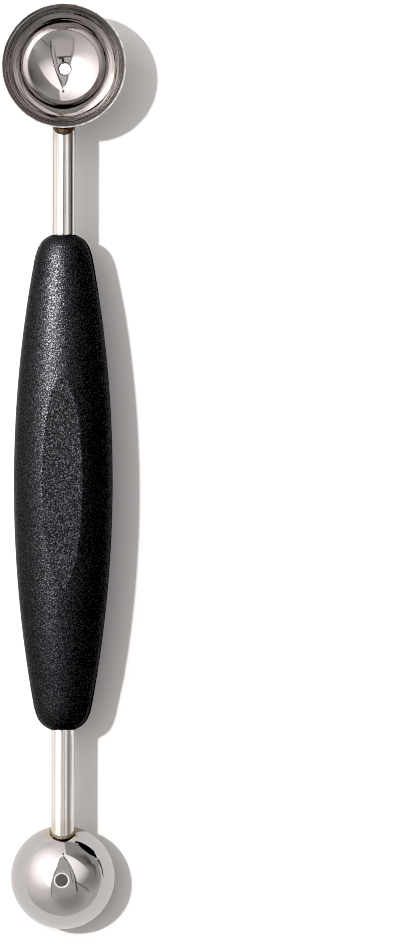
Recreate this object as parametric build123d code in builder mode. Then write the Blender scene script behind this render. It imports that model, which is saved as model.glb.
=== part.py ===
from build123d import *
from dataclasses import dataclass
from math import acos, asin, cos, degrees, radians, sin, sqrt
import os

# A double-ended melon baller: a barrel-shaped soft grip with two flat facets, a steel shaft
# out of each end, and on each shaft a bowl, the large one facing up and the small one down.
# All lengths are millimetres. +Y runs along the handle towards the large bowl, +Z is up, and
# the origin is the middle of the lower facet, on which the tool lies.

# Grip: a revolved barrel whose side is one long arc, with a rounded shoulder and nose
grip_length = 115.2
grip_diameter = 23.05
facet_depth = 1.135
facet_edge_rounding = 1.6
shoulder_length = 2.78
shoulder_drop = 0.81
nose_length = 2.92
nose_drop = 3.03
end_face_margin = 0.29

# Core: the rigid inner handle that the soft grip is moulded over, with grooves to key it
grip_wall = 3.2
core_sleeve = 1.0
core_end_rounding = 0.4
key_groove_count = 7
key_groove_width = 4.0
key_groove_depth = 0.9

# Shafts: round bars held in the core by grooves near their inner ends
shaft_diameter = 5.4
shaft_grip_depth = 34.0
shaft_end_chamfer = 0.5
anchor_groove_count = 2
anchor_groove_pitch = 6.0
anchor_groove_width = 2.4
anchor_groove_depth = 0.6

# Large bowl, facing up: the neck is the shaft that shows between grip and bowl, and the lip
# is how far the rim stands above the shaft
large_neck_length = 24.75
large_bowl_diameter = 29.1
large_rim_lip = 1.9
large_wall = 0.75
large_drain_diameter = 2.9

# Small bowl, facing down, with the same sizes
small_neck_length = 22.65
small_bowl_diameter = 24.3
small_rim_lip = 0.2
small_wall = 0.75
small_drain_diameter = 2.9

# Both bowls are part of a sphere that stops short of half, with a rim ground to a bevel inside
bowl_half_angle = 76.0
rim_land = 0.3
rim_bevel_depth = 0.55
rim_rounding = 0.135
drain_rounding = 0.22
rounding_limit_share = 0.45

# Welds: the gap from shaft to bowl on the mouth side and on the back, and the bead round it
large_mouth_gap = 2.1
large_back_gap = 0.8
large_bead_height = 0.2
small_mouth_gap = 0.6
small_back_gap = 0.75
small_bead_height = 0.35
bead_lap = 0.7
bead_rounding_share = 0.8

# Worked out from the sizes above
grip_radius = grip_diameter / 2
half_length = grip_length / 2
axis_height = grip_radius - facet_depth
shaft_radius = shaft_diameter / 2
end_face_radius = shaft_radius + end_face_margin
knee_radius = end_face_radius + nose_drop
knee_reach = half_length - nose_length
shoulder_radius = knee_radius + shoulder_drop
shoulder_reach = knee_reach - shoulder_length
core_radius = grip_radius - grip_wall
core_end_radius = shaft_radius + core_sleeve


@dataclass
class End:
    """One end of the tool. In its frame Y points out along the handle, and Z to the mouth."""

    frame: Plane
    neck_length: float
    bowl_diameter: float
    rim_lip: float
    wall: float
    drain_diameter: float
    mouth_gap: float
    back_gap: float
    bead_height: float

    def plane(self, origin, z_dir):
        """A plane stated in this end's frame, with its X across the handle."""
        stated = Plane(origin=origin, x_dir=(1, 0, 0), z_dir=z_dir)
        return Plane(self.frame.location * stated.location)

    @property
    def sphere_radius(self):
        """Outer radius of the sphere that the bowl is part of."""
        return self.bowl_diameter / 2 / sin(radians(bowl_half_angle))

    @property
    def rim_drop(self):
        """How far the sphere's centre stands beyond the rim."""
        return self.sphere_radius * cos(radians(bowl_half_angle))

    @property
    def bowl_row(self):
        """Where along the handle the middle of the bowl lies."""
        return half_length + self.neck_length + self.bowl_diameter / 2

    @property
    def bowl_rise(self):
        """How far the sphere's centre stands from the shaft's axis, towards the mouth."""
        return shaft_radius + self.rim_lip + self.rim_drop

    @property
    def section(self):
        """The plane across the handle through the sphere's centre, with Y to the mouth."""
        return self.plane((0, self.bowl_row, self.bowl_rise), (0, -1, 0))

    @property
    def slant(self):
        """The slanted plane that the shaft is cut along, so that it leans with the wall."""
        mouth_row = self.wall_row(shaft_radius) - self.mouth_gap
        back_row = self.wall_row(-shaft_radius) - self.back_gap
        return self.plane((0, (mouth_row + back_row) / 2, 0), (0, shaft_diameter, back_row - mouth_row))

    def wall_row(self, rise):
        """Where the bowl's outer face crosses a line along the handle, at a rise from the axis."""
        return self.bowl_row - sqrt(self.sphere_radius**2 - (self.bowl_rise - rise) ** 2)


def arc_radius_at(middle_radius, end_radius, reach, place):
    """Radius, at a place along the handle, of a barrel whose side is an arc through its ends."""
    drop = middle_radius - end_radius
    arc_radius = (reach**2 + drop**2) / (2 * drop)
    return middle_radius - arc_radius + sqrt(arc_radius**2 - place**2)


def build_shaft(end):
    """A bar from inside the core to its slanted cut, with anchoring grooves."""
    start = half_length - shaft_grip_depth
    with BuildPart() as shaft:
        with BuildSketch(end.frame):
            with BuildLine():
                Polyline(
                    (0, start),
                    (shaft_radius - shaft_end_chamfer, start),
                    (shaft_radius, start + shaft_end_chamfer),
                    (shaft_radius, end.bowl_row),
                    (0, end.bowl_row),
                    close=True,
                )
            make_face()
            for number in range(anchor_groove_count):
                with Locations((shaft_radius, start + (number + 0.5) * anchor_groove_pitch)):
                    Rectangle(2 * anchor_groove_depth, anchor_groove_width, mode=Mode.SUBTRACT)
        revolve(axis=handle_axis)
        split(bisect_by=end.slant, keep=Keep.BOTTOM)
    return shaft


def build_bowl(end):
    """A spherical bowl with a bevelled rim and a round drain hole at its lowest point."""
    with BuildPart() as bowl:
        with BuildSketch(end.section) as profile:
            with BuildLine():
                arcs = []
                for radius, drop in (
                    (end.sphere_radius, end.rim_drop),
                    (end.sphere_radius - end.wall, end.rim_drop + rim_bevel_depth),
                ):
                    first_angle = -degrees(acos(end.drain_diameter / 2 / radius))
                    last_angle = -degrees(asin(drop / radius))
                    arcs.append(CenterArc((0, 0), radius, first_angle, last_angle - first_angle))
                Line(arcs[0] @ 0, arcs[1] @ 0)
                Polyline(arcs[0] @ 1, (end.bowl_diameter / 2 - rim_land, -end.rim_drop), arcs[1] @ 1)
            make_face()
            limit = rounding_limit_share * end.wall
            fillet(profile.vertices().group_by(Axis.X)[0], radius=min(drain_rounding, limit))
            rim_edge = profile.vertices().group_by(Axis.Y)[-1].sort_by(Axis.X)[-1]
            fillet(rim_edge, radius=min(rim_rounding, rounding_limit_share * rim_land))
        revolve(axis=Axis(end.section.origin, end.section.y_dir))
    return bowl


def build_weld(end, shaft):
    """The bead that fills the gap between shaft and bowl and laps a little over the shaft."""
    start = end.wall_row(shaft_radius) - end.mouth_gap - 2 * shaft_diameter
    with BuildPart() as weld:
        with BuildSketch(end.plane((0, start, 0), (0, 1, 0))):
            Circle(shaft_radius + end.bead_height)
        extrude(amount=end.bowl_row - start)
        split(bisect_by=end.slant.offset(-bead_lap), keep=Keep.TOP)
        fillet(weld.faces().filter_by(end.slant).edges(), radius=bead_rounding_share * end.bead_height)
        with Locations(end.section):
            Sphere(end.sphere_radius, mode=Mode.SUBTRACT)
        add(shaft.part, mode=Mode.SUBTRACT)
    return weld


# The two ends, one the other turned half round the X axis
large_end = End(
    frame=Plane(origin=(0, 0, axis_height), x_dir=(1, 0, 0), z_dir=(0, 0, 1)),
    neck_length=large_neck_length,
    bowl_diameter=large_bowl_diameter,
    rim_lip=large_rim_lip,
    wall=large_wall,
    drain_diameter=large_drain_diameter,
    mouth_gap=large_mouth_gap,
    back_gap=large_back_gap,
    bead_height=large_bead_height,
)
small_end = End(
    frame=Plane(origin=(0, 0, axis_height), x_dir=(1, 0, 0), z_dir=(0, 0, -1)),
    neck_length=small_neck_length,
    bowl_diameter=small_bowl_diameter,
    rim_lip=small_rim_lip,
    wall=small_wall,
    drain_diameter=small_drain_diameter,
    mouth_gap=small_mouth_gap,
    back_gap=small_back_gap,
    bead_height=small_bead_height,
)
handle_axis = Axis(large_end.frame.origin, large_end.frame.y_dir)

# Shafts, bowls and the welds that join them
large_shaft = build_shaft(large_end)
small_shaft = build_shaft(small_end)
large_scoop = build_bowl(large_end)
small_scoop = build_bowl(small_end)
large_weld = build_weld(large_end, large_shaft)
small_weld = build_weld(small_end, small_shaft)

# Core, moulded round the shafts, with ring grooves for the grip
with BuildPart() as handle_core:
    with BuildSketch(large_end.frame) as core_profile:
        with BuildLine():
            ThreePointArc(
                (core_end_radius, -shoulder_reach),
                (core_radius, 0),
                (core_end_radius, shoulder_reach),
            )
            Polyline(
                (core_end_radius, shoulder_reach),
                (0, shoulder_reach),
                (0, -shoulder_reach),
                (core_end_radius, -shoulder_reach),
            )
        make_face()
        for row in (0, -1):
            corner = core_profile.vertices().group_by(Axis.Y)[row].sort_by(Axis.X)[-1]
            fillet(corner, radius=min(core_end_rounding, rounding_limit_share * core_sleeve))
        for number in range(1, key_groove_count + 1):
            place = shoulder_reach * (2 * number / (key_groove_count + 1) - 1)
            side_radius = arc_radius_at(core_radius, core_end_radius, shoulder_reach, place)
            with Locations((side_radius, place)):
                Rectangle(2 * key_groove_depth, key_groove_width, mode=Mode.SUBTRACT)
    revolve(axis=handle_axis)
    add(large_shaft.part, mode=Mode.SUBTRACT)
    add(small_shaft.part, mode=Mode.SUBTRACT)

# Grip: the barrel with its shoulders and noses, cut flat above and below
with BuildPart() as grip:
    with BuildSketch(large_end.frame):
        with BuildLine():
            barrel = ThreePointArc(
                (shoulder_radius, -shoulder_reach),
                (grip_radius, 0),
                (shoulder_radius, shoulder_reach),
            )
            shoulder = TangentArc(barrel @ 1, (knee_radius, knee_reach), tangent=barrel % 1)
            nose = TangentArc(shoulder @ 1, (end_face_radius, half_length), tangent=shoulder % 1)
            mirror(shoulder, about=Plane.XZ)
            mirror(nose, about=Plane.XZ)
            Polyline(
                (end_face_radius, half_length),
                (0, half_length),
                (0, -half_length),
                (end_face_radius, -half_length),
            )
        make_face()
    revolve(axis=handle_axis)
    split(bisect_by=Plane.XY, keep=Keep.TOP)
    split(bisect_by=Plane.XY.offset(2 * axis_height), keep=Keep.BOTTOM)
    fillet(grip.faces().filter_by(Plane.XY).edges(), radius=facet_edge_rounding)
    add(handle_core.part, mode=Mode.SUBTRACT)
    add(large_shaft.part, mode=Mode.SUBTRACT)
    add(small_shaft.part, mode=Mode.SUBTRACT)

# Labels and files
pieces = {
    "grip": grip,
    "handle_core": handle_core,
    "large_shaft": large_shaft,
    "small_shaft": small_shaft,
    "large_scoop": large_scoop,
    "small_scoop": small_scoop,
    "large_weld": large_weld,
    "small_weld": small_weld,
}
os.makedirs("parts", exist_ok=True)
for name, piece in pieces.items():
    piece.part.label = name
    export_step(piece.part, f"parts/{name}.step")
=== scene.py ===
import math
import bpy
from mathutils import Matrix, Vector, noise


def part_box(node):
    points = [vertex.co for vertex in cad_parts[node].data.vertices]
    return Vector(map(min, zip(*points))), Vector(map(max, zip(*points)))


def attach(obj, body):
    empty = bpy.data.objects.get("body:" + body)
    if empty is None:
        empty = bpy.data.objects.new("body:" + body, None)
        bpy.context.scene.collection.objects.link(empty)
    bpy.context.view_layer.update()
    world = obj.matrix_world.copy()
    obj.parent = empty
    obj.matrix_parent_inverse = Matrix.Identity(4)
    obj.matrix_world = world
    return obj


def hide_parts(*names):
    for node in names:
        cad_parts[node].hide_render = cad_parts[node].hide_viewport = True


# A double-ended melon baller lying on a white table, seen from straight above.
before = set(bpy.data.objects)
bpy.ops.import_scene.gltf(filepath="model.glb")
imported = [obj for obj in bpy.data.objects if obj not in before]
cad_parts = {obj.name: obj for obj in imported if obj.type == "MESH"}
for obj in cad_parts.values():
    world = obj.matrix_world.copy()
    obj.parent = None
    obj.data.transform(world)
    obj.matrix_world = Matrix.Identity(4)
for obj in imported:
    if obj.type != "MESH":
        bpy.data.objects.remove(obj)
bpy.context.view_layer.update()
mm = 0.001

# Sizes read from the frame
grip_low, grip_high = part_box("grip")
large_scoop_low, large_scoop_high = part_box("large_scoop")
small_scoop_low, small_scoop_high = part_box("small_scoop")
shaft_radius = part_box("large_shaft")[1].x
half_length = grip_high.y
axis_height = (grip_high.z + grip_low.z) / 2
large_row = (large_scoop_low.y + large_scoop_high.y) / 2
small_row = (small_scoop_low.y + small_scoop_high.y) / 2

# Grip profile, as in the CAD part
grip_radius = 11.525 * mm
shoulder_length = 2.78 * mm
shoulder_drop = 0.81 * mm
nose_length = 2.92 * mm
nose_drop = 3.03 * mm
end_face_margin = 0.29 * mm

# Grip details: the mould's parting ridge, the facet's edge and the bore's lips
parting_ridge = 0.1 * mm
parting_end_ridge = 0.33 * mm
parting_fade = 14.0 * mm
parting_top = math.radians(0.5)
parting_foot = math.radians(1.15)
facet_softness = 0.03 * mm
facet_least_cosine = 0.3
bore_margin = 0.03 * mm
lip_depth = 2.4 * mm
end_collar = 0.4 * mm

# The flash round the shafts, ragged by noise, which is cut at another place for each end
large_flash_height = 0.16 * mm
small_flash_height = 0.34 * mm
large_flash_cut = 7.0
small_flash_cut = 2.0
flash_mean = 0.3
flash_least = -0.15
flash_scale = 3.1
flash_fine_scale = 3.3
flash_fine_share = 0.45

# Bowls, close to the CAD part
bowl_half_angle = math.radians(76)
bowl_wall = 0.75 * mm
drain_radius = 1.45 * mm
drain_rounding = 0.24 * mm
drain_corner = 0.8 * drain_rounding
drain_step = 0.01
rim_land = 0.37 * mm
rim_bevel_depth = 0.55 * mm
rim_rounding = 0.09 * mm
rim_margin = 1.5 * rim_rounding
bevel_rounding = 0.28 * mm
foot_reach = 0.3
foot_step = 0.012
large_bowl_radius = 14.533 * mm
small_bowl_radius = 12.13 * mm
opens_up = 1
opens_down = -1

# The slight waves in the outer part of a bowl's inner wall
wall_wave = 0.022 * mm
wall_tolerance = 0.01 * mm
wave_start = 0.72
wave_fade = 0.2
wave_around = 1.1
wave_down = 26
wave_fine_scale = 2.4
wave_fine_share = 0.3

# Weld gaps from shaft to bowl, on the mouth side and on the back
large_gaps = (2.1 * mm, 0.8 * mm)
small_gaps = (0.6 * mm, 0.75 * mm)
large_bead_height = 0.1 * mm
small_bead_height = 0.32 * mm
bead_lap = 0.3 * mm
bead_thickness = 0.75 * mm
bead_depth = 0.3 * mm

# The beads' lumps and ripples
bead_spread = 4.2
bead_round = 1.6
bead_end = 5
lump_height = 0.10
lump_scale = 1.3
fine_lump_height = 0.06
fine_lump_scale = 3.7
ripple_height = 0.02
ripple_count = 26
ripple_shift = 3
relief_gain = 1.4

# How finely the meshes are divided
barrel_steps = 122
bend_steps = 12
nose_steps = 20
facet_angles = [0.75 * number for number in range(44)]
flank_angles = [33 + 2.2 * number for number in range(1, 25)]
ridge_angles = [87.4, 88.3, 88.85, 89.2, 89.5, 89.8, 90.0]
bowl_around = 224
outer_steps = 64
inner_steps = 96
corner_steps = 6
edge_highlight_steps = 4
bevel_steps = 8
foot_steps = 2
bead_around = 144
bead_section = 36
shade_steps = 48

# Depths of the surfaces' relief
polish_relief = 0.0016 * mm
ground_relief = 0.005 * mm
drain_relief = 0.01 * mm
drawn_relief = 0.004 * mm
weld_relief = 0.11 * mm
rubber_relief = 0.08 * mm
plastic_relief = 0.03 * mm

# The steels' tints, the shafts' dark lines (partly painted reflection), how dark the welds are, where
# their heat is centred, and the crevice's painted shade
large_tint = (0.485, 0.465, 0.458)
small_tint = (0.440, 0.427, 0.426)
# Each shaft's bright steel and its dark lines, which are partly drawn marks and partly painted
# reflection
large_bright = (0.68, 0.66, 0.645)
large_lined_and_reflected = (0.30, 0.285, 0.275)
small_bright = (0.72, 0.70, 0.685)
small_lined_and_reflected = (0.54, 0.52, 0.505)
large_dark_share = 0.54
small_dark_share = 0.40
large_weld_row = large_scoop_low.y
small_weld_inset = 1.2 * mm
small_weld_row = small_scoop_high.y - small_weld_inset
large_weld_rise = 0.7 * axis_height
crevice_shade_full = 0.25 * mm
crevice_shade_fade = 0.6 * mm

# The photograph's frame and the camera that took it
photo_width = 416
photo_height = 945
pixels_per_metre = 4286.0
camera_height = 1.2
handle_column = 63.3
handle_row = 482.5
camera_roll = math.radians(0.12)
sensor_side = 36.0
black_level = (0.0200, 0.0194, 0.0203)
pixel_filter = 1.0

# The room's light: each lobe's azimuth, zenith, inner and outer edge in degrees, and its amount
room_tint = (1.0, 0.955, 0.94)
room_base = 0.80
matt_share = 0.46
room_lobes = (
    (155, 52, 15, 78, 0.62),
    (146, 40, 0, 22, 5.0),
    (146, 40, 5, 50, 1.0),
    (182, 22, 0, 22, 1.25),
    (75, 85, 5, 40, 0.35),
    (48, 34, 0, 43, 1.15),
    (10, 62, 0, 42, -0.35),
    (290, 50, 0, 38, -0.29),
)

# The lamps
key_power = 205
key_radius = 0.042
key_tint = (1.0, 0.99, 0.98)
key_place = (-1.05, 0.41, 2.2)
glint_power = 37.0
glint_width = math.radians(22)
glint_azimuth = 141
glint_zenith = 40
beam_power = 1.35
beam_width = math.radians(0.96)
beam_distance_share = 0.12

# The table, greyer towards the small bowl's end as painted shade, and a grey spot of painted shade on
# it
table_white = (0.8, 0.8, 0.8)
table_painted_shade = (0.762, 0.757, 0.757)
table_painted_shade_row = -0.10
table_white_row = 0.0
table_roughness = 0.8
table_reach = 12.0
shade_radius = 4.5 * mm
shade_albedo = 0.5
shade_height = 0.05 * mm

# The bowls' rows: what hangs over the table is placed as one of them sees it
bowl_row = 0.097
dome_row = -0.0924

# The height of the tent's panels at each slope along the table
tent_stops = ((-2.6, 0.30), (-0.4, 0.30), (0.1, 0.36), (0.5, 0.46), (0.93, 0.80), (1.3, 0.85))

# What the bowls mirror: slopes across and along, and a height where it isn't the tent's
gap_left = [(-0.01, 0.93), (-0.05, 0.72), (-0.1, 0.5), (-0.145, 0.18), (-0.19, -0.14)]
gap_left += [(-0.31, -0.5), (-0.43, -0.95), (-0.54, -1.6)]
gap_right = [(0.03, 0.93), (0.11, 0.62), (0.19, 0.35), (0.25, 0.15), (0.31, -0.05)]
gap_right += [(0.42, -0.4), (0.55, -0.85), (0.67, -1.28)]
gap_foot_left = [(-0.5, -2.6)]
gap_foot_right = [(0.75, -2.6)]
fold_line = [(0.075, 0.58), (0.12, 0.35), (0.165, 0.15), (0.215, -0.05), (0.30, -0.4), (0.40, -0.85)]
low_line = [(0.49, -0.68, 0.34), (0.9, -1.12, 0.25), (1.33, -1.6, 0.19), (2.0, -2.2, 0.17)]
near_side = [(0.19, 1.02, 0.7), (0.62, 0.54, 0.38), (1.03, 0.05, 0.26)]
near_side += [(1.75, -0.95, 0.14), (5.5, -2.6, 0.14)]
far_side = [(0.33, 12, 0.3), (5, 12, 0.3), (9, 9, 0.3), (12, 4, 0.3), (12, -2, 0.3)]
clamp_outline = [(-0.03, 1.0), (0.06, 1.0), (0.07, 1.22), (-0.01, 1.22)]
arm_outline = [(-0.24, -0.35), (-0.24, -0.31), (0.02, -0.28), (0.1, -0.22)]
arm_outline += [(0.14, -0.22), (0.24, -0.32), (0.1, -0.33)]
body_outline = [(0.0, -0.27), (0.06, -0.27), (0.08, -0.08), (0.06, 0.1), (0.0, 0.1), (-0.02, -0.08)]
screen_outline = [(-0.22, 0.31), (0.3, 0.31), (0.26, 0.5), (0.12, 0.53)]
screen_outline += [(0.11, 0.82), (-0.03, 0.82), (-0.05, 0.53), (-0.2, 0.5)]

# The strips' widths in slopes, how far they are lowered, and the other cards' heights
left_edge_widths = [0.045, 0.06, 0.07, 0.08, 0.08, 0.06, 0.03]
right_edge_widths = [0.035, 0.05, 0.055, 0.06, 0.06, 0.06, 0.07, 0.07]
fold_widths = [0.02, 0.035, 0.04, 0.04, 0.035, 0.02]
low_widths = [0.05, 0.1, 0.12, 0.08]
edge_lift = -0.004
low_lift = -0.002
clamp_height = 0.78
arm_height = 0.27
body_height = 0.28
screen_height = 0.14

# The dark bars to the right, as (row, height) at one column
bar_column = 0.062
bar_middle = [(-0.062, 0.008), (-0.035, 0.024), (0, 0.029), (0.035, 0.024)]
bar_middle += [(0.054, 0.012), (0.054, 0), (-0.04, 0)]
bar_upper = [(0.054, 0.024), (0.088, 0.021), (0.088, 0), (0.054, 0)]
bar_lower = [(-0.094, 0.004), (-0.088, 0.008), (-0.078, 0.0085), (-0.062, 0.012), (-0.062, 0.003)]

# How brightly each plain card glows
card_glows = {
    "left_edge": 0.40,
    "right_edge": 0.12,
    "fold": 0.26,
    "low_edge": 0.36,
    "apex_clamp": 0.12,
    "camera_arm": 0.12,
    "camera_body": 0.03,
    "camera_screen": 0.79,
    "neighbour": 0.012,
    "neighbour_upper": 0.14,
    "neighbour_lower": 0.22,
}

# How the uneven cards glow: near and far from a centre, the centre, and how far it spreads
gap_light = (0.90, 0.62, (0, 0.15), 0.75)
far_right_light = (0.17, 0.58, (0.62, 0.25), 0.6)
gap_ends = (0.38, 0.62)


def empty_material(name):
    """A new material with nothing but its output, its nodes and that output's surface."""
    material = bpy.data.materials.new(name)
    material.use_nodes = True
    tree = material.node_tree
    tree.nodes.clear()
    output = tree.nodes.new("ShaderNodeOutputMaterial")
    return material, tree, output.inputs["Surface"]


def new_material(name, metallic=0.0):
    """A new material with a principled shader, its nodes and that shader."""
    material, tree, surface = empty_material(name)
    shader = tree.nodes.new("ShaderNodeBsdfPrincipled")
    shader.inputs["Metallic"].default_value = metallic
    tree.links.new(shader.outputs["BSDF"], surface)
    return material, tree, shader


def place_node(tree, scale=(1, 1, 1)):
    """Object coordinates, stretched by a scale along each axis."""
    coords = tree.nodes.new("ShaderNodeTexCoord")
    stretch = tree.nodes.new("ShaderNodeMapping")
    stretch.inputs["Scale"].default_value = scale
    tree.links.new(coords.outputs["Object"], stretch.inputs["Vector"])
    return stretch.outputs["Vector"]


def noise_node(tree, vector, scale, detail=2.0, roughness=0.5):
    """A noise texture's grey value."""
    texture = tree.nodes.new("ShaderNodeTexNoise")
    texture.inputs["Scale"].default_value = scale
    texture.inputs["Detail"].default_value = detail
    texture.inputs["Roughness"].default_value = roughness
    tree.links.new(vector, texture.inputs["Vector"])
    return texture.outputs["Fac"]


def range_node(tree, value, from_low, from_high, to_low, to_high, smooth=False):
    """A value mapped from one range to another, and held at its ends."""
    remap = tree.nodes.new("ShaderNodeMapRange")
    if smooth:
        remap.interpolation_type = "SMOOTHSTEP"
    remap.inputs["From Min"].default_value = from_low
    remap.inputs["From Max"].default_value = from_high
    remap.inputs["To Min"].default_value = to_low
    remap.inputs["To Max"].default_value = to_high
    tree.links.new(value, remap.inputs["Value"])
    return remap.outputs["Result"]


def math_node(tree, operation, first, second):
    """A sum, product or other combination of two values, each a socket or a number."""
    node = tree.nodes.new("ShaderNodeMath")
    node.operation = operation
    for number, value in enumerate((first, second)):
        if isinstance(value, (int, float)):
            node.inputs[number].default_value = value
        else:
            tree.links.new(value, node.inputs[number])
    return node.outputs["Value"]


def mix_node(tree, factor, first, second):
    """A colour between two others, each a socket or a colour."""
    node = tree.nodes.new("ShaderNodeMix")
    node.data_type = "RGBA"
    tree.links.new(factor, node.inputs["Factor"])
    colour_sockets = [socket for socket in node.inputs if socket.type == "RGBA"]
    for socket, value in zip(colour_sockets, (first, second)):
        if isinstance(value, tuple):
            socket.default_value = (*value, 1.0)
        else:
            tree.links.new(value, socket)
    return [socket for socket in node.outputs if socket.type == "RGBA"][0]


def bump_node(tree, height, distance):
    """A normal tilted by a height, at full strength."""
    bump = tree.nodes.new("ShaderNodeBump")
    bump.inputs["Strength"].default_value = 1.0
    bump.inputs["Distance"].default_value = distance
    tree.links.new(height, bump.inputs["Height"])
    return bump.outputs["Normal"]


def distance_node(tree, centre, flat=False):
    """Distance of a point of the surface from a centre, or from a vertical line through it."""
    coords = tree.nodes.new("ShaderNodeTexCoord")
    offset = tree.nodes.new("ShaderNodeVectorMath")
    offset.operation = "SUBTRACT"
    offset.inputs[1].default_value = centre
    tree.links.new(coords.outputs["Object"], offset.inputs[0])
    squash = tree.nodes.new("ShaderNodeVectorMath")
    squash.operation = "MULTIPLY"
    squash.inputs[1].default_value = (1, 1, 0 if flat else 1)
    tree.links.new(offset.outputs["Vector"], squash.inputs[0])
    length = tree.nodes.new("ShaderNodeVectorMath")
    length.operation = "LENGTH"
    tree.links.new(squash.outputs["Vector"], length.inputs[0])
    return length.outputs["Value"]


def finish_surface(tree, shader, colour, roughness, height, depth):
    """Links a shader's colour, its roughness, and its relief from a height of some depth."""
    tree.links.new(colour, shader.inputs["Base Color"])
    tree.links.new(roughness, shader.inputs["Roughness"])
    tree.links.new(bump_node(tree, height, depth), shader.inputs["Normal"])


def add_camera():
    """The camera straight above, aimed so that the handle falls where it does in the photograph."""
    distance = camera_height - axis_height
    data = bpy.data.cameras.new("camera")
    data.sensor_width = sensor_side
    data.lens = sensor_side / 2 / (photo_height / 2 / pixels_per_metre / distance)
    data.clip_start = 0.01
    data.clip_end = 100.0
    camera = bpy.data.objects.new("camera", data)
    right = (photo_width / 2 - handle_column) / pixels_per_metre
    up = (handle_row - photo_height / 2) / pixels_per_metre
    camera.location = (right, up, camera_height)
    camera.rotation_euler = (0, 0, camera_roll)
    bpy.context.scene.collection.objects.link(camera)
    bpy.context.scene.camera = camera


def toward(azimuth, zenith):
    """A direction, from its azimuth and its angle from straight up, in degrees."""
    turn = math.radians(azimuth)
    lean = math.radians(zenith)
    return Vector((math.sin(lean) * math.cos(turn), math.sin(lean) * math.sin(turn), math.cos(lean)))


def add_world():
    """The pale room: brighter to the left, with a soft panel lit by the key, darker to the right."""
    world = bpy.data.worlds.new("room")
    bpy.context.scene.world = world
    world.use_nodes = True
    tree = world.node_tree
    background = tree.nodes["Background"]
    background.inputs["Color"].default_value = (*room_tint, 1.0)
    coords = tree.nodes.new("ShaderNodeTexCoord")
    total = room_base
    for azimuth, zenith, inner, outer, amount in room_lobes:
        dot = tree.nodes.new("ShaderNodeVectorMath")
        dot.operation = "DOT_PRODUCT"
        dot.inputs[1].default_value = toward(azimuth, zenith)
        tree.links.new(coords.outputs["Generated"], dot.inputs[0])
        low = math.cos(math.radians(outer))
        high = math.cos(math.radians(inner))
        lobe = range_node(tree, dot.outputs["Value"], low, high, 0.0, amount, smooth=True)
        total = math_node(tree, "ADD", lobe, total)
    path = tree.nodes.new("ShaderNodeLightPath")
    share = range_node(tree, path.outputs["Is Glossy Ray"], 0.0, 1.0, matt_share, 1.0)
    tree.links.new(math_node(tree, "MULTIPLY", total, share), background.inputs["Strength"])


def add_key():
    """The key light, high on the left, which throws the shadows to the right."""
    data = bpy.data.lights.new("key", "POINT")
    data.energy = key_power
    data.shadow_soft_size = key_radius
    data.color = key_tint
    key = bpy.data.objects.new("key", data)
    key.location = key_place
    key.visible_glossy = False
    bpy.context.scene.collection.objects.link(key)


def add_glint(piece):
    """A sparkle from the left on the grain of one piece, and on nothing else."""
    data = bpy.data.lights.new("glint", "SUN")
    data.energy = glint_power
    data.angle = glint_width
    light = bpy.data.objects.new("glint", data)
    light.rotation_euler = toward(glint_azimuth, glint_zenith).to_track_quat("Z", "Y").to_euler()
    light.visible_diffuse = False
    bpy.context.scene.collection.objects.link(light)
    receivers = bpy.data.collections.new("glint_receivers")
    receivers.objects.link(piece)
    light.light_linking.receiver_collection = receivers


def add_drain_light():
    """A thin beam down through the large bowl's drain, which leaves a white spot under it."""
    data = bpy.data.lights.new("drain_light", "SPOT")
    data.spot_size = beam_width
    data.spot_blend = 0.0
    data.shadow_soft_size = 0.0
    data.energy = beam_power
    light = bpy.data.objects.new("drain_light", data)
    drain = Vector((0, large_row, large_scoop_low.z))
    view = bpy.context.scene.camera.location - drain
    light.location = drain + view * beam_distance_share
    light.rotation_euler = view.to_track_quat("Z", "Y").to_euler()
    bpy.context.scene.collection.objects.link(light)


def stage_piece(name, corners, material, faces=None):
    """A piece of the stage: one flat face, or the faces given."""
    mesh = bpy.data.meshes.new(name)
    mesh.from_pydata(corners, [], faces or [tuple(range(len(corners)))])
    mesh.materials.append(material)
    piece = bpy.data.objects.new(name, mesh)
    bpy.context.scene.collection.objects.link(piece)
    return piece


def mirrored_piece(name, corners, material, faces=None):
    """A piece of the stage that only reflections show."""
    piece = stage_piece(name, corners, material, faces)
    piece.visible_camera = False
    piece.visible_diffuse = False
    piece.visible_shadow = False


def add_floor():
    """A wide matt white table top, a little greyer towards the small bowl's end: painted shade, which
    darkens the shadows there.
    """
    material, tree, shader = new_material("table_white")
    axes = tree.nodes.new("ShaderNodeSeparateXYZ")
    tree.links.new(place_node(tree), axes.inputs["Vector"])
    row = axes.outputs["Y"]
    # Painted shade: the table's colour turns greyer towards the small bowl's end
    whiter = range_node(tree, row, table_painted_shade_row, table_white_row, 0.0, 1.0, smooth=True)
    tree.links.new(mix_node(tree, whiter, table_painted_shade, table_white), shader.inputs["Base Color"])
    shader.inputs["Roughness"].default_value = table_roughness
    shader.inputs["Specular IOR Level"].default_value = 0.0
    signs = ((-1, -1), (1, -1), (1, 1), (-1, 1))
    corners = [(table_reach * across, table_reach * along, 0) for across, along in signs]
    stage_piece("table", corners, material)


def add_shade():
    """A grey spot of painted shade on the table under the small bowl, which only its drain shows from
    above.
    """
    material, tree, shader = new_material("shade_grey")
    shader.inputs["Base Color"].default_value = (shade_albedo, shade_albedo, shade_albedo, 1)
    shader.inputs["Specular IOR Level"].default_value = 0.0
    corners = []
    for number in range(shade_steps):
        angle = 2 * math.pi * number / shade_steps
        column = shade_radius * math.cos(angle)
        row = small_row + shade_radius * math.sin(angle)
        corners.append((column, row, shade_height))
    stage_piece("shade", corners, material)


def glow(name):
    """A card's glowing material, its nodes, its output's surface and its light."""
    material, tree, surface = empty_material(name + "_glow")
    light = tree.nodes.new("ShaderNodeEmission")
    light.inputs["Color"].default_value = (*room_tint, 1.0)
    tree.links.new(light.outputs["Emission"], surface)
    return material, tree, surface, light


def plain_glow(name):
    """The even light of the card with this name."""
    material, tree, surface, light = glow(name)
    light.inputs["Strength"].default_value = card_glows[name]
    return material


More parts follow.
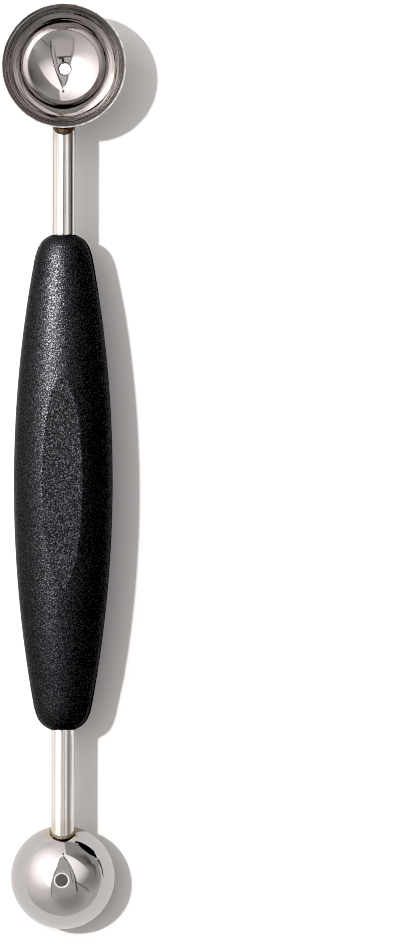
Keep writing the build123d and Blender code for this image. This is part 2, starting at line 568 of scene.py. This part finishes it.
def uneven_glow(name, near, far, centre, spread, ends=None):
    """A card's light that changes with the distance from a centre, and may fade out."""
    material, tree, surface, light = glow(name)
    away = distance_node(tree, (*centre, 0), flat=True)
    strength = range_node(tree, away, 0.0, spread, near, far, smooth=True)
    tree.links.new(strength, light.inputs["Strength"])
    if ends:
        clear = tree.nodes.new("ShaderNodeBsdfTransparent")
        mix = tree.nodes.new("ShaderNodeMixShader")
        tree.links.new(range_node(tree, away, *ends, 0.0, 1.0, smooth=True), mix.inputs["Fac"])
        tree.links.new(light.outputs["Emission"], mix.inputs[1])
        tree.links.new(clear.outputs["BSDF"], mix.inputs[2])
        tree.links.new(mix.outputs["Shader"], surface)
    return material


def tent_rise(slope):
    """The height of the tent's panels: level over the handle, and rising beyond the large bowl."""
    for (low, low_rise), (high, high_rise) in zip(tent_stops, tent_stops[1:]):
        if slope <= high:
            share = max((slope - low) / (high - low), 0.0)
            return low_rise + (high_rise - low_rise) * share
    return tent_stops[-1][1]


def point_rise(point):
    """A point's own height, or the tent's where it has none."""
    return point[2] if len(point) > 2 else tent_rise(point[1])


def card(name, outline, height=None, lift=0.0, row=bowl_row):
    """A card over the table that only reflections show, from the slopes at which a bowl sees it."""
    corners = []
    for point in outline:
        rise = (height if height else point_rise(point)) + lift
        corners.append((point[0] * rise, row + point[1] * rise, rise))
    mirrored_piece(name, corners, plain_glow(name))


def strip(name, line, widths, lift):
    """A narrow card along a line, with its own width at each point."""
    points = [Vector(point[:2]) for point in line]
    left = []
    right = []
    for number, point in enumerate(points):
        before = points[max(number - 1, 0)]
        after = points[min(number + 1, len(points) - 1)]
        along = (after - before).normalized()
        across = Vector((-along.y, along.x)) * widths[number] / 2
        rise = point_rise(line[number])
        left.append((*(point + across), rise))
        right.append((*(point - across), rise))
    card(name, left + right[::-1], lift=lift)


def fan_card(name, left, right, material):
    """A card between two edges with as many points each, so that it may bend from row to row."""
    corners = []
    for point in left + right:
        rise = point_rise(point)
        corners.append((point[0] * rise, bowl_row + point[1] * rise, rise))
    count = len(left)
    faces = [(row, row + 1, count + row + 1, count + row) for row in range(count - 1)]
    mirrored_piece(name, corners, material, faces)


def add_cards():
    """The gap between the tent's two panels, their edges, and what stands behind."""
    gap_glow = uneven_glow("gap", *gap_light, ends=gap_ends)
    fan_card("gap", gap_left + gap_foot_left, gap_right + gap_foot_right, gap_glow)
    strip("left_edge", gap_left[1:], left_edge_widths, edge_lift)
    strip("right_edge", gap_right, right_edge_widths, edge_lift)
    strip("fold", fold_line, fold_widths, edge_lift)
    fan_card("far_right", near_side, far_side, uneven_glow("far_right", *far_right_light))
    strip("low_edge", low_line, low_widths, low_lift)
    card("apex_clamp", clamp_outline, clamp_height)
    card("camera_arm", arm_outline, arm_height)
    card("camera_body", body_outline, body_height)
    card("camera_screen", screen_outline, screen_height, row=dome_row)


def add_bars():
    """Dark bars standing to the right, which the bowls mirror as a dark arc."""
    bars = (("neighbour", bar_middle), ("neighbour_upper", bar_upper), ("neighbour_lower", bar_lower))
    for name, outline in bars:
        corners = [(bar_column, row, rise) for row, rise in outline]
        mirrored_piece(name, corners, plain_glow(name))


def turned(vector, angle):
    """A flat vector turned by an angle."""
    cosine = math.cos(angle)
    sine = math.sin(angle)
    return Vector((vector.x * cosine - vector.y * sine, vector.x * sine + vector.y * cosine))


def tangent_arc(start, tangent, end, count):
    """Points along the arc from a start with a tangent to an end, and the tangent there."""
    start = Vector(start)
    end = Vector(end)
    tangent = Vector(tangent).normalized()
    normal = Vector((-tangent.y, tangent.x))
    chord = end - start
    radius = chord.length_squared / (2 * chord.dot(normal))
    centre = start + normal * radius
    turn = math.copysign(2 * math.asin(chord.length / (2 * abs(radius))), radius)
    spoke = start - centre
    points = [centre + turned(spoke, turn * number / count) for number in range(1, count + 1)]
    return points, turned(tangent, turn)


def grip_profile():
    """Half of the grip's side, from its middle to its end face, as (row, radius)."""
    end_radius = shaft_radius + end_face_margin
    knee = (half_length - nose_length, end_radius + nose_drop)
    shoulder = (knee[0] - shoulder_length, knee[1] + shoulder_drop)
    middle = (0.0, grip_radius)
    barrel, tangent = tangent_arc(middle, (1, 0), shoulder, barrel_steps)
    bend, tangent = tangent_arc(shoulder, tangent, knee, bend_steps)
    nose, tangent = tangent_arc(knee, tangent, (half_length, end_radius), nose_steps)
    return [Vector(middle)] + barrel + bend + nose


def smooth_minimum(first, second, width):
    """The lesser of two lengths, blended where they are nearly equal."""
    share = min(max(0.5 + 0.5 * (second - first) / width, 0.0), 1.0)
    return second + (first - second) * share - width * share * (1 - share)


def grip_angles():
    """Angles round the grip, close together at the facets' edges and at the parting ridge."""
    quarter = [math.radians(angle) for angle in facet_angles + flank_angles + ridge_angles]
    half = quarter + [math.pi - angle for angle in reversed(quarter[:-1])]
    return half + [2 * math.pi - angle for angle in reversed(half[1:-1])]


def new_object(name, points, faces, material):
    """A smooth mesh object that rides on the one body."""
    mesh = bpy.data.meshes.new(name)
    mesh.from_pydata(points, [], faces)
    mesh.validate()
    mesh.polygons.foreach_set("use_smooth", [True] * len(mesh.polygons))
    mesh.materials.append(material)
    mesh.update()
    piece = bpy.data.objects.new(name, mesh)
    bpy.context.scene.collection.objects.link(piece)
    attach(piece, "root")
    return piece


def ring_faces(rings, around, closed=False):
    """Quads between neighbouring rings of points."""
    faces = []
    last = rings if closed else rings - 1
    for ring in range(last):
        here = ring * around
        after = (ring + 1) % rings * around
        for number in range(around):
            beside = (number + 1) % around
            faces.append((here + number, after + number, after + beside, here + beside))
    return faces


def build_grip():
    """The soft grip's skin, with facets, parting ridge, and flash where the shafts come out."""
    half = grip_profile()
    side = [Vector((-point.x, point.y)) for point in reversed(half[1:])] + half
    angles = grip_angles()
    points = []

    def add_ring(row, radius, plain=False, flash=0.0):
        """Adds a ring of points: with the facets and the ridge unless plain, and with any flash."""
        share = min(max(1 - (half_length - abs(row)) / parting_fade, 0.0), 1.0)
        height = parting_ridge + (parting_end_ridge - parting_ridge) * math.sqrt(share)
        for angle in angles:
            sine = math.sin(angle)
            cosine = math.cos(angle)
            reach = radius
            shift = 0.0
            if not plain:
                off_side = abs(abs(math.atan2(sine, cosine)) - math.pi / 2)
                ridge = min(max((parting_foot - off_side) / (parting_foot - parting_top), 0.0), 1.0)
                reach = radius - height * (1 - ridge)
                if abs(cosine) > facet_least_cosine:
                    reach = smooth_minimum(reach, axis_height / abs(cosine), facet_softness)
            if flash:
                cut = large_flash_cut if row > 0 else small_flash_cut
                spot = Vector((flash_scale * sine, flash_scale * cosine, cut))
                wobble = noise.noise(spot) + flash_fine_share * noise.noise(spot * flash_fine_scale)
                shift = math.copysign(flash * (flash_mean + max(wobble, flash_least)), row)
            points.append((reach * sine, row + shift, axis_height + reach * cosine))

    bore = shaft_radius + bore_margin
    end_radius = shaft_radius + end_face_margin
    lip_radius = (bore + end_radius) / 2
    add_ring(lip_depth - half_length, bore, plain=True)
    add_ring(-half_length, bore, plain=True, flash=small_flash_height)
    add_ring(-half_length, lip_radius, plain=True, flash=small_flash_height)
    for point in side:
        add_ring(point.x, point.y, plain=point.y < end_radius + end_collar)
    add_ring(half_length, lip_radius, plain=True, flash=large_flash_height)
    add_ring(half_length, bore, plain=True, flash=large_flash_height)
    add_ring(half_length - lip_depth, bore, plain=True)
    rings = len(points) // len(angles)
    piece = new_object("grip_skin", points, ring_faces(rings, len(angles)), grip_rubber())
    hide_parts("grip")
    return piece


def arc_points(radius, first, last, count):
    """Points on an arc round a bowl's centre, as (distance from its axis, height)."""
    points = []
    for number in range(count + 1):
        angle = first + (last - first) * number / count
        points.append((radius * math.cos(angle), radius * math.sin(angle)))
    return points


def rounded_corner(before, corner, after, radius, count):
    """Points of an arc that rounds a corner between two straight sides."""
    corner = Vector(corner)
    first = (Vector(before) - corner).normalized()
    second = (Vector(after) - corner).normalized()
    half = first.angle(second) / 2
    start = corner + first * (radius / math.tan(half))
    centre = corner + (first + second).normalized() * radius / math.sin(half)
    spoke = start - centre
    turn = math.pi - 2 * half
    if first.x * second.y - first.y * second.x > 0:
        turn = -turn
    return [tuple(centre + turned(spoke, turn * number / count)) for number in range(count + 1)]


def sphere_radius(rim_radius):
    """The radius of the sphere that the outside of a bowl is a part of."""
    return rim_radius / math.sin(bowl_half_angle)


def bowl_profile(rim_radius):
    """The bowl's closed section, up the outside and down the inside, and two places on its rim."""
    outer = sphere_radius(rim_radius)
    inner = outer - bowl_wall
    rim = -outer * math.cos(bowl_half_angle)
    land = (rim_radius - rim_land, rim)
    foot_drop = -rim + rim_bevel_depth
    foot = (math.sqrt(inner**2 - foot_drop**2), -foot_drop)
    below_foot = (foot[0] - foot_reach * foot_drop, foot[1] - foot[0] * foot_reach)
    outer_start = math.acos((drain_radius + drain_rounding) / outer)
    inner_start = math.acos((drain_radius + drain_rounding) / inner)
    drain_low = (drain_radius, -outer * math.sin(math.acos(drain_radius / outer)))
    drain_high = (drain_radius, -inner * math.sin(math.acos(drain_radius / inner)))
    outer_low = (outer * math.cos(outer_start), -outer * math.sin(outer_start))
    inner_low = (inner * math.cos(inner_start), -inner * math.sin(inner_start))
    outer_end = -bowl_half_angle + math.pi / 2
    margin = rim_margin / outer
    profile = rounded_corner(drain_high, drain_low, outer_low, drain_corner, corner_steps)
    profile += arc_points(outer, -outer_start + drain_step, -outer_end - margin, outer_steps)
    below = (outer * math.cos(outer_end + margin), -outer * math.sin(outer_end + margin))
    profile += rounded_corner(below, (rim_radius, rim), land, rim_rounding, corner_steps)
    edge_end = len(profile) - 1
    profile += rounded_corner((rim_radius, rim), land, foot, bevel_rounding, bevel_steps)
    bevel_end = len(profile) - 1
    profile += rounded_corner(land, foot, below_foot, bevel_rounding, foot_steps)
    inner_end = math.asin(foot_drop / inner)
    profile += arc_points(inner, -inner_end - foot_step, -inner_start, inner_steps)
    profile += rounded_corner(inner_low, drain_high, drain_low, drain_corner, corner_steps)
    return profile, edge_end, bevel_end


def build_bowl(name, low, high, rim_radius, opens, material):
    """A bowl lathed round its upright axis, its mouth up or down, in the place of its node."""
    around = bowl_around
    outer = sphere_radius(rim_radius)
    row = (low.y + high.y) / 2
    rim_height = high.z if opens > 0 else low.z
    centre = rim_height + opens * outer * math.cos(bowl_half_angle)
    profile, edge_end, bevel_end = bowl_profile(rim_radius)
    points = []
    for radius, height in profile:
        inside = abs(math.hypot(radius, height) - outer + bowl_wall) < wall_tolerance
        depth = math.atan2(radius, -height)
        wave = wall_wave * min(max((depth - wave_start) / wave_fade, 0.0), 1.0) if inside else 0.0
        for number in range(around):
            angle = 2 * math.pi * number / around
            cosine = math.cos(angle)
            sine = math.sin(angle)
            spot = Vector((wave_around * cosine, wave_around * sine, wave_down * depth))
            waviness = noise.noise(spot) + wave_fine_share * noise.noise(spot * wave_fine_scale)
            swell = 1 + wave * waviness / outer
            x = radius * cosine * swell
            y = radius * sine * swell
            points.append((x, row + y, centre + opens * height * swell))
    faces = ring_faces(len(profile), around, closed=True)
    piece = new_object(name + "_lathed", points, faces, material)
    piece.data.materials.append(bevel_steel(name + "_bevel_steel"))
    # The large bowl's drain edge is painted shade, the small bowl's a painted highlight ring
    piece.data.materials.append(drain_steel(name + "_drain_steel", opens > 0))
    piece.data.materials.append(edge_steel(name + "_edge_steel"))
    corner_rings = corner_steps + 1
    drain_rings = (*range(corner_rings), *range(len(profile) - corner_rings, len(profile)))
    # The bevel's rings take a steel darkened as painted shade
    bevel_rings = range(edge_end + 1, bevel_end + 1)
    # The rim's last rings take the pale edge steel, a painted highlight
    edge_rings = range(edge_end - edge_highlight_steps, edge_end + 1)
    for index, rings in ((1, bevel_rings), (2, drain_rings), (3, edge_rings)):
        for ring in rings:
            for face in range(ring * around, (ring + 1) * around):
                piece.data.polygons[face].material_index = index
    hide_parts(name)


def build_bead(name, rim_radius, low, high, opens, gaps, bead_height, material):
    """A lumpy bead in the gap between a shaft's slanted end and its bowl."""
    mouth_gap, back_gap = gaps
    outer = sphere_radius(rim_radius)
    row = abs(low.y + high.y) / 2
    rim_height = high.z if opens > 0 else low.z
    centre_rise = opens * (rim_height - axis_height) + outer * math.cos(bowl_half_angle)
    side = math.copysign(1.0, low.y)

    def wall_row(rise, across=0.0):
        """How far along the tool the bowl's outside is, at a rise over the shaft's axis."""
        return row - math.sqrt(outer**2 - (centre_rise - rise) ** 2 - across**2)

    mouth_row = wall_row(shaft_radius) - mouth_gap
    back_row = wall_row(-shaft_radius) - back_gap
    points = []
    for number in range(bead_around):
        angle = 2 * math.pi * number / bead_around
        sine = math.sin(angle)
        cosine = math.cos(angle)
        start = (mouth_row + back_row) / 2 + cosine * (mouth_row - back_row) / 2 - bead_lap
        finish = wall_row(shaft_radius * cosine, shaft_radius * sine) + bead_lap
        for step in range(bead_section):
            turn = 2 * math.pi * step / bead_section
            cut = bead_round * math.sin(turn) + bead_end * side
            spot = Vector((bead_spread * sine, bead_spread * cosine, cut))
            lump = lump_height * noise.noise(spot * lump_scale)
            lump += fine_lump_height * noise.noise(spot * fine_lump_scale)
            ripple = ripple_height * math.sin(ripple_count * angle + ripple_shift * noise.noise(spot))
            swell = math.cos(turn) * (1 + (lump + ripple) * relief_gain)
            radius = shaft_radius + bead_height + bead_thickness * (swell - 1)
            along = (start + finish) / 2 + (finish - start) / 2 * math.sin(turn) * (1 + lump)
            rise = radius * cosine
            along = min(along, wall_row(rise, radius * sine) + bead_depth)
            points.append((radius * sine, side * along, axis_height + opens * rise))
    faces = ring_faces(bead_around, bead_section, closed=True)
    piece = new_object(name + "_bead", points, faces, material)
    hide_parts(name)


def heat_tint(tree, weld_centre, near, far, strongest, cloud, faintest):
    """How far a weld's heat tints a surface: patchily, and less and less away from it."""
    away = distance_node(tree, weld_centre)
    reach = range_node(tree, away, near, far, strongest, 0.0, smooth=True)
    return math_node(tree, "MULTIPLY", reach, range_node(tree, cloud, 0.3, 0.7, faintest, 1.0))


def scoop_steel(name, bowl_centre, weld_centre, polished):
    """Mirror-polished steel with faint turned rings and specks, and a heat tint by the weld."""
    material, tree, shader = new_material(name, metallic=1.0)
    straw = (0.46, 0.39, 0.30)
    place = place_node(tree)
    cloud = noise_node(tree, place, 260, 3)
    tinted = heat_tint(tree, weld_centre, 3.0 * mm, 5.2 * mm, 0.85, cloud, 0.55)
    axis_distance = distance_node(tree, bowl_centre, flat=True)
    turning = tree.nodes.new("ShaderNodeCombineXYZ")
    tree.links.new(axis_distance, turning.inputs["X"])
    rings = noise_node(tree, turning.outputs["Vector"], 5200, 2)
    specks = noise_node(tree, place, 5200, 2)
    patchy = range_node(tree, cloud, 0.35, 0.68, 0.035, 0.075)
    streaky = range_node(tree, rings, 0.4, 0.75, 0.0, 0.03)
    roughness = math_node(tree, "ADD", patchy, streaky)
    height = math_node(tree, "ADD", rings, math_node(tree, "MULTIPLY", specks, 0.5))
    colour = mix_node(tree, tinted, polished, straw)
    finish_surface(tree, shader, colour, roughness, height, polish_relief)
    return material


def bevel_steel(name):
    """Steel ground to a bevel, rougher than the polished bowl, and darkened as painted shade of the
    rim's dark reflections.
    """
    material, tree, shader = new_material(name, metallic=0.75)
    dark = (0.10, 0.093, 0.09)
    pale = (0.19, 0.178, 0.17)
    place = place_node(tree)
    colour = mix_node(tree, noise_node(tree, place, 700, 3), dark, pale)
    fine = noise_node(tree, place, 6000, 2)
    roughness = range_node(tree, fine, 0.3, 0.7, 0.08, 0.18)
    finish_surface(tree, shader, colour, roughness, fine, ground_relief)
    return material


def edge_steel(name):
    """The rim's edge, pale and rough: a painted highlight of the bright line along the rim."""
    material, tree, shader = new_material(name, metallic=0.4)
    dull = (0.46, 0.45, 0.44)
    pale = (0.80, 0.785, 0.775)
    cloud = noise_node(tree, place_node(tree), 900, 3)
    colour = mix_node(tree, range_node(tree, cloud, 0.4, 0.6, 0.0, 1.0), dull, pale)
    roughness = range_node(tree, cloud, 0.3, 0.7, 0.22, 0.36)
    finish_surface(tree, shader, colour, roughness, cloud, ground_relief)
    return material


def drain_steel(name, dark_shaded):
    """The punched drain's edge, rough: bright as a painted highlight, or dark as painted shade."""
    material, tree, shader = new_material(name, metallic=0.35)
    bright = ((0.52, 0.50, 0.49), (0.72, 0.70, 0.69))
    dark = ((0.035, 0.032, 0.030), (0.07, 0.064, 0.06))
    cloud = noise_node(tree, place_node(tree), 1500, 3)
    colour = mix_node(tree, cloud, *(dark if dark_shaded else bright))
    roughness = range_node(tree, cloud, 0.3, 0.7, 0.35, 0.5)
    finish_surface(tree, shader, colour, roughness, cloud, drain_relief)
    return material


def shaft_steel(name, weld_row, bright, lined_and_reflected):
    """Bright drawn bar with a straw tint near its weld, and dark lines along it: partly drawn marks,
    partly painted reflection.
    """
    material, tree, shader = new_material(name, metallic=1.0)
    straw = (0.50, 0.43, 0.34)
    streaks = noise_node(tree, place_node(tree, (1, 0.012, 1)), 5200, 3, 0.6)
    cloud = noise_node(tree, place_node(tree, (1, 0.3, 1)), 420, 3)
    weld_centre = (0, weld_row, axis_height)
    tinted = heat_tint(tree, weld_centre, 2.2 * mm, 5.0 * mm, 0.8, cloud, 0.3)
    # Dark lines along the bar, partly drawn marks and partly painted reflection
    lines = noise_node(tree, place_node(tree, (1, 0.004, 1)), 1500, 2, 0.7)
    drawn = mix_node(tree, range_node(tree, lines, 0.46, 0.62, 0.0, 1.0), bright, lined_and_reflected)
    colour = mix_node(tree, tinted, drawn, straw)
    roughness = range_node(tree, streaks, 0.3, 0.75, 0.05, 0.12)
    finish_surface(tree, shader, colour, roughness, streaks, drawn_relief)
    return material


def weld_steel(name, bowl_centre, bowl_radius, dark_share):
    """Heat-tinted weld metal: browns, straw and a little scale, with black painted shade in the
    crevice by the bowl.
    """
    material, tree, shader = new_material(name, metallic=0.85)
    scale = (0.018, 0.013, 0.012)
    brown = (0.13, 0.088, 0.066)
    gold = (0.31, 0.27, 0.19)
    black = (0.012, 0.010, 0.009)
    place = place_node(tree)
    broad = noise_node(tree, place, 900, 3, 0.6)
    fine = noise_node(tree, place, 3200, 3, 0.6)
    browned = mix_node(tree, range_node(tree, broad, 0.35, 0.65, 0.0, 1.0), scale, brown)
    golden = range_node(tree, fine, dark_share, dark_share + 0.14, 0.0, 1.0)
    tinted = mix_node(tree, golden, browned, gold)
    # Painted shade: the weld goes black near the bowl, in the crevice
    dark_end = bowl_radius + crevice_shade_full
    fade_end = bowl_radius + crevice_shade_fade
    away = distance_node(tree, bowl_centre)
    near = range_node(tree, away, dark_end, fade_end, 1.0, 0.0, smooth=True)
    colour = mix_node(tree, near, tinted, black)
    roughness = range_node(tree, fine, 0.3, 0.7, 0.28, 0.55)
    finish_surface(tree, shader, colour, roughness, fine, weld_relief)
    return material


def grip_rubber():
    """Black moulded rubber with a fine sparkling grain."""
    material, tree, shader = new_material("grip_rubber_grained")
    dark = (0.0135, 0.0132, 0.0146)
    pale = (0.0172, 0.0169, 0.0186)
    shader.inputs["Specular Tint"].default_value = (0.93, 0.92, 1.0, 1.0)
    place = place_node(tree)
    broad = noise_node(tree, place, 130, 3)
    grain = noise_node(tree, place, 3100, 0.5, 0.5)
    glint = noise_node(tree, place, 3300, 0.5, 0.5)
    rough = noise_node(tree, place, 3600, 2)
    shade = range_node(tree, math_node(tree, "MULTIPLY", glint, broad), 0.1, 0.42, 0.0, 1.0)
    facing = tree.nodes.new("ShaderNodeLayerWeight")
    facing.inputs["Blend"].default_value = 0.5
    fade = range_node(tree, facing.outputs["Facing"], 0.15, 0.6, 1.0, 0.3, smooth=True)
    level = range_node(tree, glint, 0.45, 0.70, 0.025, 0.21, smooth=True)
    tree.links.new(math_node(tree, "MULTIPLY", level, fade), shader.inputs["Specular IOR Level"])
    colour = mix_node(tree, shade, dark, pale)
    roughness = range_node(tree, rough, 0.35, 0.65, 0.38, 0.48)
    finish_surface(tree, shader, colour, roughness, grain, rubber_relief)
    return material


def core_plastic():
    """Dark grey moulded plastic with flow marks, hidden inside the grip."""
    material, tree, shader = new_material("core_plastic_moulded")
    dark = (0.035, 0.035, 0.038)
    pale = (0.075, 0.075, 0.08)
    flow = noise_node(tree, place_node(tree, (1, 0.15, 1)), 240, 4, 0.6)
    fine = noise_node(tree, place_node(tree), 4200, 2)
    colour = mix_node(tree, flow, dark, pale)
    roughness = range_node(tree, flow, 0.3, 0.7, 0.42, 0.6)
    finish_surface(tree, shader, colour, roughness, fine, plastic_relief)
    return material


def dress(node, material):
    """Gives a CAD node its material."""
    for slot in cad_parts[node].material_slots:
        slot.material = material


# The stage
add_camera()
add_world()
add_key()
add_floor()
add_cards()
add_bars()
add_drain_light()
add_shade()

# The grip and its core
add_glint(build_grip())
dress("handle_core", core_plastic())

# The bowls
large_heat = (0, large_weld_row, large_weld_rise)
small_heat = (0, small_weld_row, axis_height)
large_steel = scoop_steel("large_scoop_steel", (0, large_row, 0), large_heat, large_tint)
small_steel = scoop_steel("small_scoop_steel", (0, small_row, 0), small_heat, small_tint)
large_box = (large_scoop_low, large_scoop_high)
small_box = (small_scoop_low, small_scoop_high)
build_bowl("large_scoop", *large_box, large_bowl_radius, opens_up, large_steel)
build_bowl("small_scoop", *small_box, small_bowl_radius, opens_down, small_steel)

# The welds
large_sphere = sphere_radius(large_bowl_radius)
small_sphere = sphere_radius(small_bowl_radius)
large_centre = (0, large_row, large_scoop_high.z + large_sphere * math.cos(bowl_half_angle))
small_centre = (0, small_row, small_scoop_low.z - small_sphere * math.cos(bowl_half_angle))
dark_weld = weld_steel("large_weld_steel", large_centre, large_sphere, large_dark_share)
gold_weld = weld_steel("small_weld_steel", small_centre, small_sphere, small_dark_share)
large_bead = (opens_up, large_gaps, large_bead_height, dark_weld)
small_bead = (opens_down, small_gaps, small_bead_height, gold_weld)
build_bead("large_weld", large_bowl_radius, *large_box, *large_bead)
build_bead("small_weld", small_bowl_radius, *small_box, *small_bead)

# The shafts
dress("large_shaft", shaft_steel("large_shaft_steel", large_weld_row, large_bright, large_lined_and_reflected))
dress("small_shaft", shaft_steel("small_shaft_steel", small_weld_row, small_bright, small_lined_and_reflected))

# The view
scene = bpy.context.scene
scene.view_settings.view_transform = "Standard"
scene.view_settings.use_curve_mapping = True
scene.view_settings.curve_mapping.black_level = black_level
scene.view_settings.curve_mapping.update()
scene.cycles.filter_width = pixel_filter
